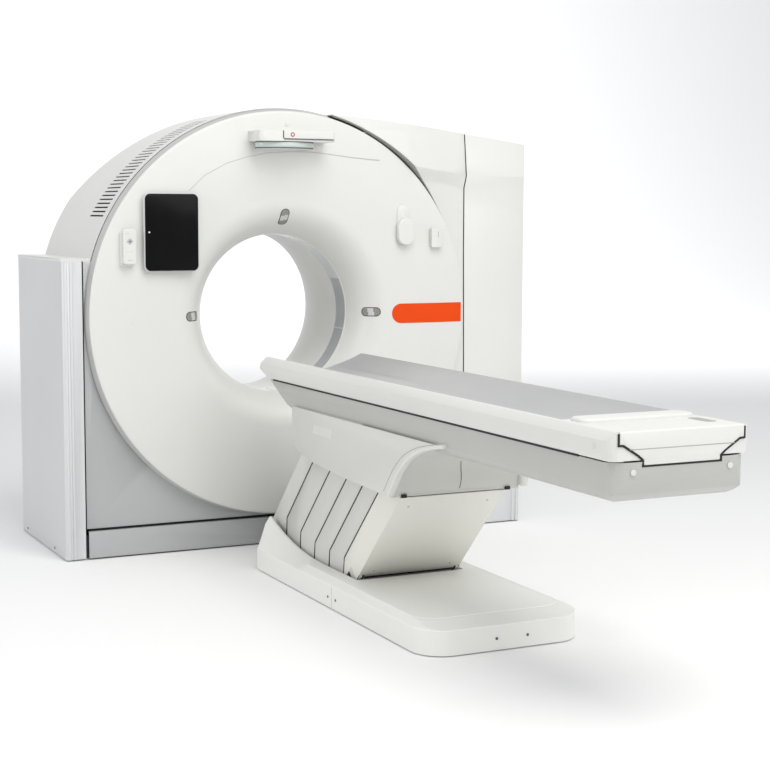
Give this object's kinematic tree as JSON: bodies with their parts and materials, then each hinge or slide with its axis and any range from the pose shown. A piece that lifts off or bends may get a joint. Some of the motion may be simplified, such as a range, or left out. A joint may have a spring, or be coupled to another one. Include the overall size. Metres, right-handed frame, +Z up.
{
  "type": "ct scanner",
  "caption": "Computed-tomography scanner: ring gantry with a through bore and rotating tube and detector, and a patient table that rises on parallel arms and slides its cradle in.",
  "frame": {"origin": "on the floor, straight under the isocentre of the bore, in the middle of the scan plane", "axes": "+X to the right seen from the table, +Y from the table into the gantry, +Z up"},
  "size_m": [2.2215, 3.7012, 1.915],
  "materials": {
    "warm_white_cover": "satin moulded cover, warm white",
    "table_hull_white": "satin moulded cover, white",
    "table_base_white": "satin moulded cover, white",
    "silver_painted_steel": "silver grey powder coat",
    "black_seal": "black",
    "grey_frame_steel": "grey primer paint",
    "scan_window_plastic": "pale translucent film",
    "tinted_laser_glass": "dark tinted",
    "bearing_steel": "ground",
    "black_moulding": "fine texture",
    "machined_aluminium": "machined",
    "zinc_sheet": "zinc plated sheet",
    "zinc_screw": "zinc plated",
    "slip_ring_brass": "turned tracks",
    "tube_housing_paint": "light grey enamel",
    "pale_grey_plastic": "fine texture",
    "dark_key_plastic": "satin",
    "black_gloss": "black glass look",
    "orange_gloss": "gloss film",
    "cradle_grey": "smooth laminate, light grey"
  },
  "bodies": {
    "stand": {"front_cover": "warm_white_cover", "scan_window": "scan_window_plastic", "laser_windows": "tinted_laser_glass", "round_top_cover": "warm_white_cover", "right_upper_cover": "warm_white_cover", "right_tower_cover": "warm_white_cover", "right_tower_base": "silver_painted_steel", "left_tower_cover": "silver_painted_steel", "lower_front_panel": "silver_painted_steel", "plinth_cover": "silver_painted_steel", "gap_seals": "black_seal", "rear_cover": "warm_white_cover", "base_frame": "grey_frame_steel", "stator_ring": "grey_frame_steel", "bearing_outer_ring": "bearing_steel", "fan_housing": "black_moulding", "drive_belt": "black_seal", "drive_motor": "machined_aluminium", "electronics_cabinet": "zinc_sheet", "brush_block": "black_moulding", "accessory_docks": "pale_grey_plastic", "tablet": "black_gloss", "remote_control": "pale_grey_plastic", "breathing_display": "warm_white_cover", "ecg_transmitter": "pale_grey_plastic", "sensor_box": "pale_grey_plastic", "badge": "orange_gloss", "cover_screws": "zinc_screw", "table_base_frame": "grey_frame_steel", "table_base_cover": "table_base_white", "cable_duct": "black_seal", "lift_gearmotor": "black_moulding"},
    "cooling_fan": {"cooling_fan": "black_moulding"},
    "motor_pulley": {"motor_pulley": "machined_aluminium"},
    "rotor": {"rotor_drum": "machined_aluminium", "bearing_inner_ring": "bearing_steel", "slip_ring": "slip_ring_brass", "xray_tube": "tube_housing_paint", "collimator": "zinc_sheet", "detector_arc": "machined_aluminium", "hv_generator": "tube_housing_paint", "heat_exchanger": "machined_aluminium"},
    "jaw_front": {"jaw_front": "bearing_steel"},
    "jaw_rear": {"jaw_rear": "bearing_steel"},
    "remote_key": {"remote_keys": "dark_key_plastic"},
    "foot_arm": {"foot_lift_arm": "grey_frame_steel", "foot_panel": "table_hull_white"},
    "gantry_arm": {"gantry_lift_arm": "grey_frame_steel", "gantry_panel": "table_hull_white"},
    "slats_1": {"slat_pair_1": "table_hull_white"},
    "slats_2": {"slat_pair_2": "table_hull_white"},
    "slats_3": {"slat_pair_3": "table_hull_white"},
    "slats_4": {"slat_pair_4": "table_hull_white"},
    "carriage": {"carriage_frame": "grey_frame_steel", "table_hull": "table_hull_white", "side_rails": "warm_white_cover", "pedestal_hood": "table_hull_white", "rail_plugs": "pale_grey_plastic"},
    "cradle": {"cradle": "cradle_grey", "cradle_end_piece": "warm_white_cover"}
  },
  "joints": [
    {"name": "gantry_rotation", "type": "hinge", "parent": "stand", "child": "rotor", "pos_m": [0, 0.156, 1.02], "axis": [0, 1, 0], "continuous": true},
    {"name": "drive_pulley_spin", "type": "hinge", "parent": "stand", "child": "motor_pulley", "pos_m": [0.69, 0.156, 0.3], "axis": [0, 1, 0], "continuous": true},
    {"name": "collimator_front_jaw", "type": "slide", "parent": "rotor", "child": "jaw_front", "axis": [0, -1, 0], "range_m": [0, 0.0255]},
    {"name": "collimator_rear_jaw", "type": "slide", "parent": "rotor", "child": "jaw_rear", "axis": [0, 1, 0], "range_m": [0, 0.0255]},
    {"name": "fan_spin", "type": "hinge", "parent": "stand", "child": "cooling_fan", "pos_m": [0, 0.3, 1.641], "axis": [0, 1, 0], "continuous": true},
    {"name": "remote_key_press", "type": "slide", "parent": "stand", "child": "remote_key", "axis": [0, 1, 0], "range_m": [0, 0.0012], "stiffness_N_per_m": 800},
    {"name": "table_lift", "type": "hinge", "parent": "stand", "child": "foot_arm", "pos_m": [0, -1.322, 0.125], "axis": [-1, 0, 0], "range_deg": [-12.5, 12.5]},
    {"name": "gantry_arm_pivot", "type": "hinge", "parent": "stand", "child": "gantry_arm", "pos_m": [0, -0.546, 0.125], "axis": [-1, 0, 0], "range_deg": [-12.5, 12.5]},
    {"name": "carriage_pivot", "type": "hinge", "parent": "foot_arm", "child": "carriage", "pos_m": [0, -1.65682, 0.46334], "axis": [-1, 0, 0], "range_deg": [-12.5, 12.5]},
    {"name": "cradle_slide", "type": "slide", "parent": "carriage", "child": "cradle", "axis": [0, 1, 0], "range_m": [0, 1.65]},
    {"name": "slat_pivot_1", "type": "hinge", "parent": "stand", "child": "slats_1", "pos_m": [0, -1.197, 0.125], "axis": [-1, 0, 0], "range_deg": [-12.5, 12.5]},
    {"name": "slat_pivot_2", "type": "hinge", "parent": "stand", "child": "slats_2", "pos_m": [0, -1.055, 0.125], "axis": [-1, 0, 0], "range_deg": [-12.5, 12.5]},
    {"name": "slat_pivot_3", "type": "hinge", "parent": "stand", "child": "slats_3", "pos_m": [0, -0.913, 0.125], "axis": [-1, 0, 0], "range_deg": [-12.5, 12.5]},
    {"name": "slat_pivot_4", "type": "hinge", "parent": "stand", "child": "slats_4", "pos_m": [0, -0.771, 0.125], "axis": [-1, 0, 0], "range_deg": [-12.5, 12.5]}
  ],
  "couplings": [
    {"joint": "drive_pulley_spin", "follows": "gantry_rotation", "ratio": 8.9773},
    {"joint": "collimator_rear_jaw", "follows": "collimator_front_jaw", "ratio": 1},
    {"joint": "gantry_arm_pivot", "follows": "table_lift", "ratio": 1},
    {"joint": "carriage_pivot", "follows": "table_lift", "ratio": -1},
    {"joint": "slat_pivot_1", "follows": "table_lift", "ratio": 1},
    {"joint": "slat_pivot_2", "follows": "table_lift", "ratio": 1},
    {"joint": "slat_pivot_3", "follows": "table_lift", "ratio": 1},
    {"joint": "slat_pivot_4", "follows": "table_lift", "ratio": 1}
  ]
}
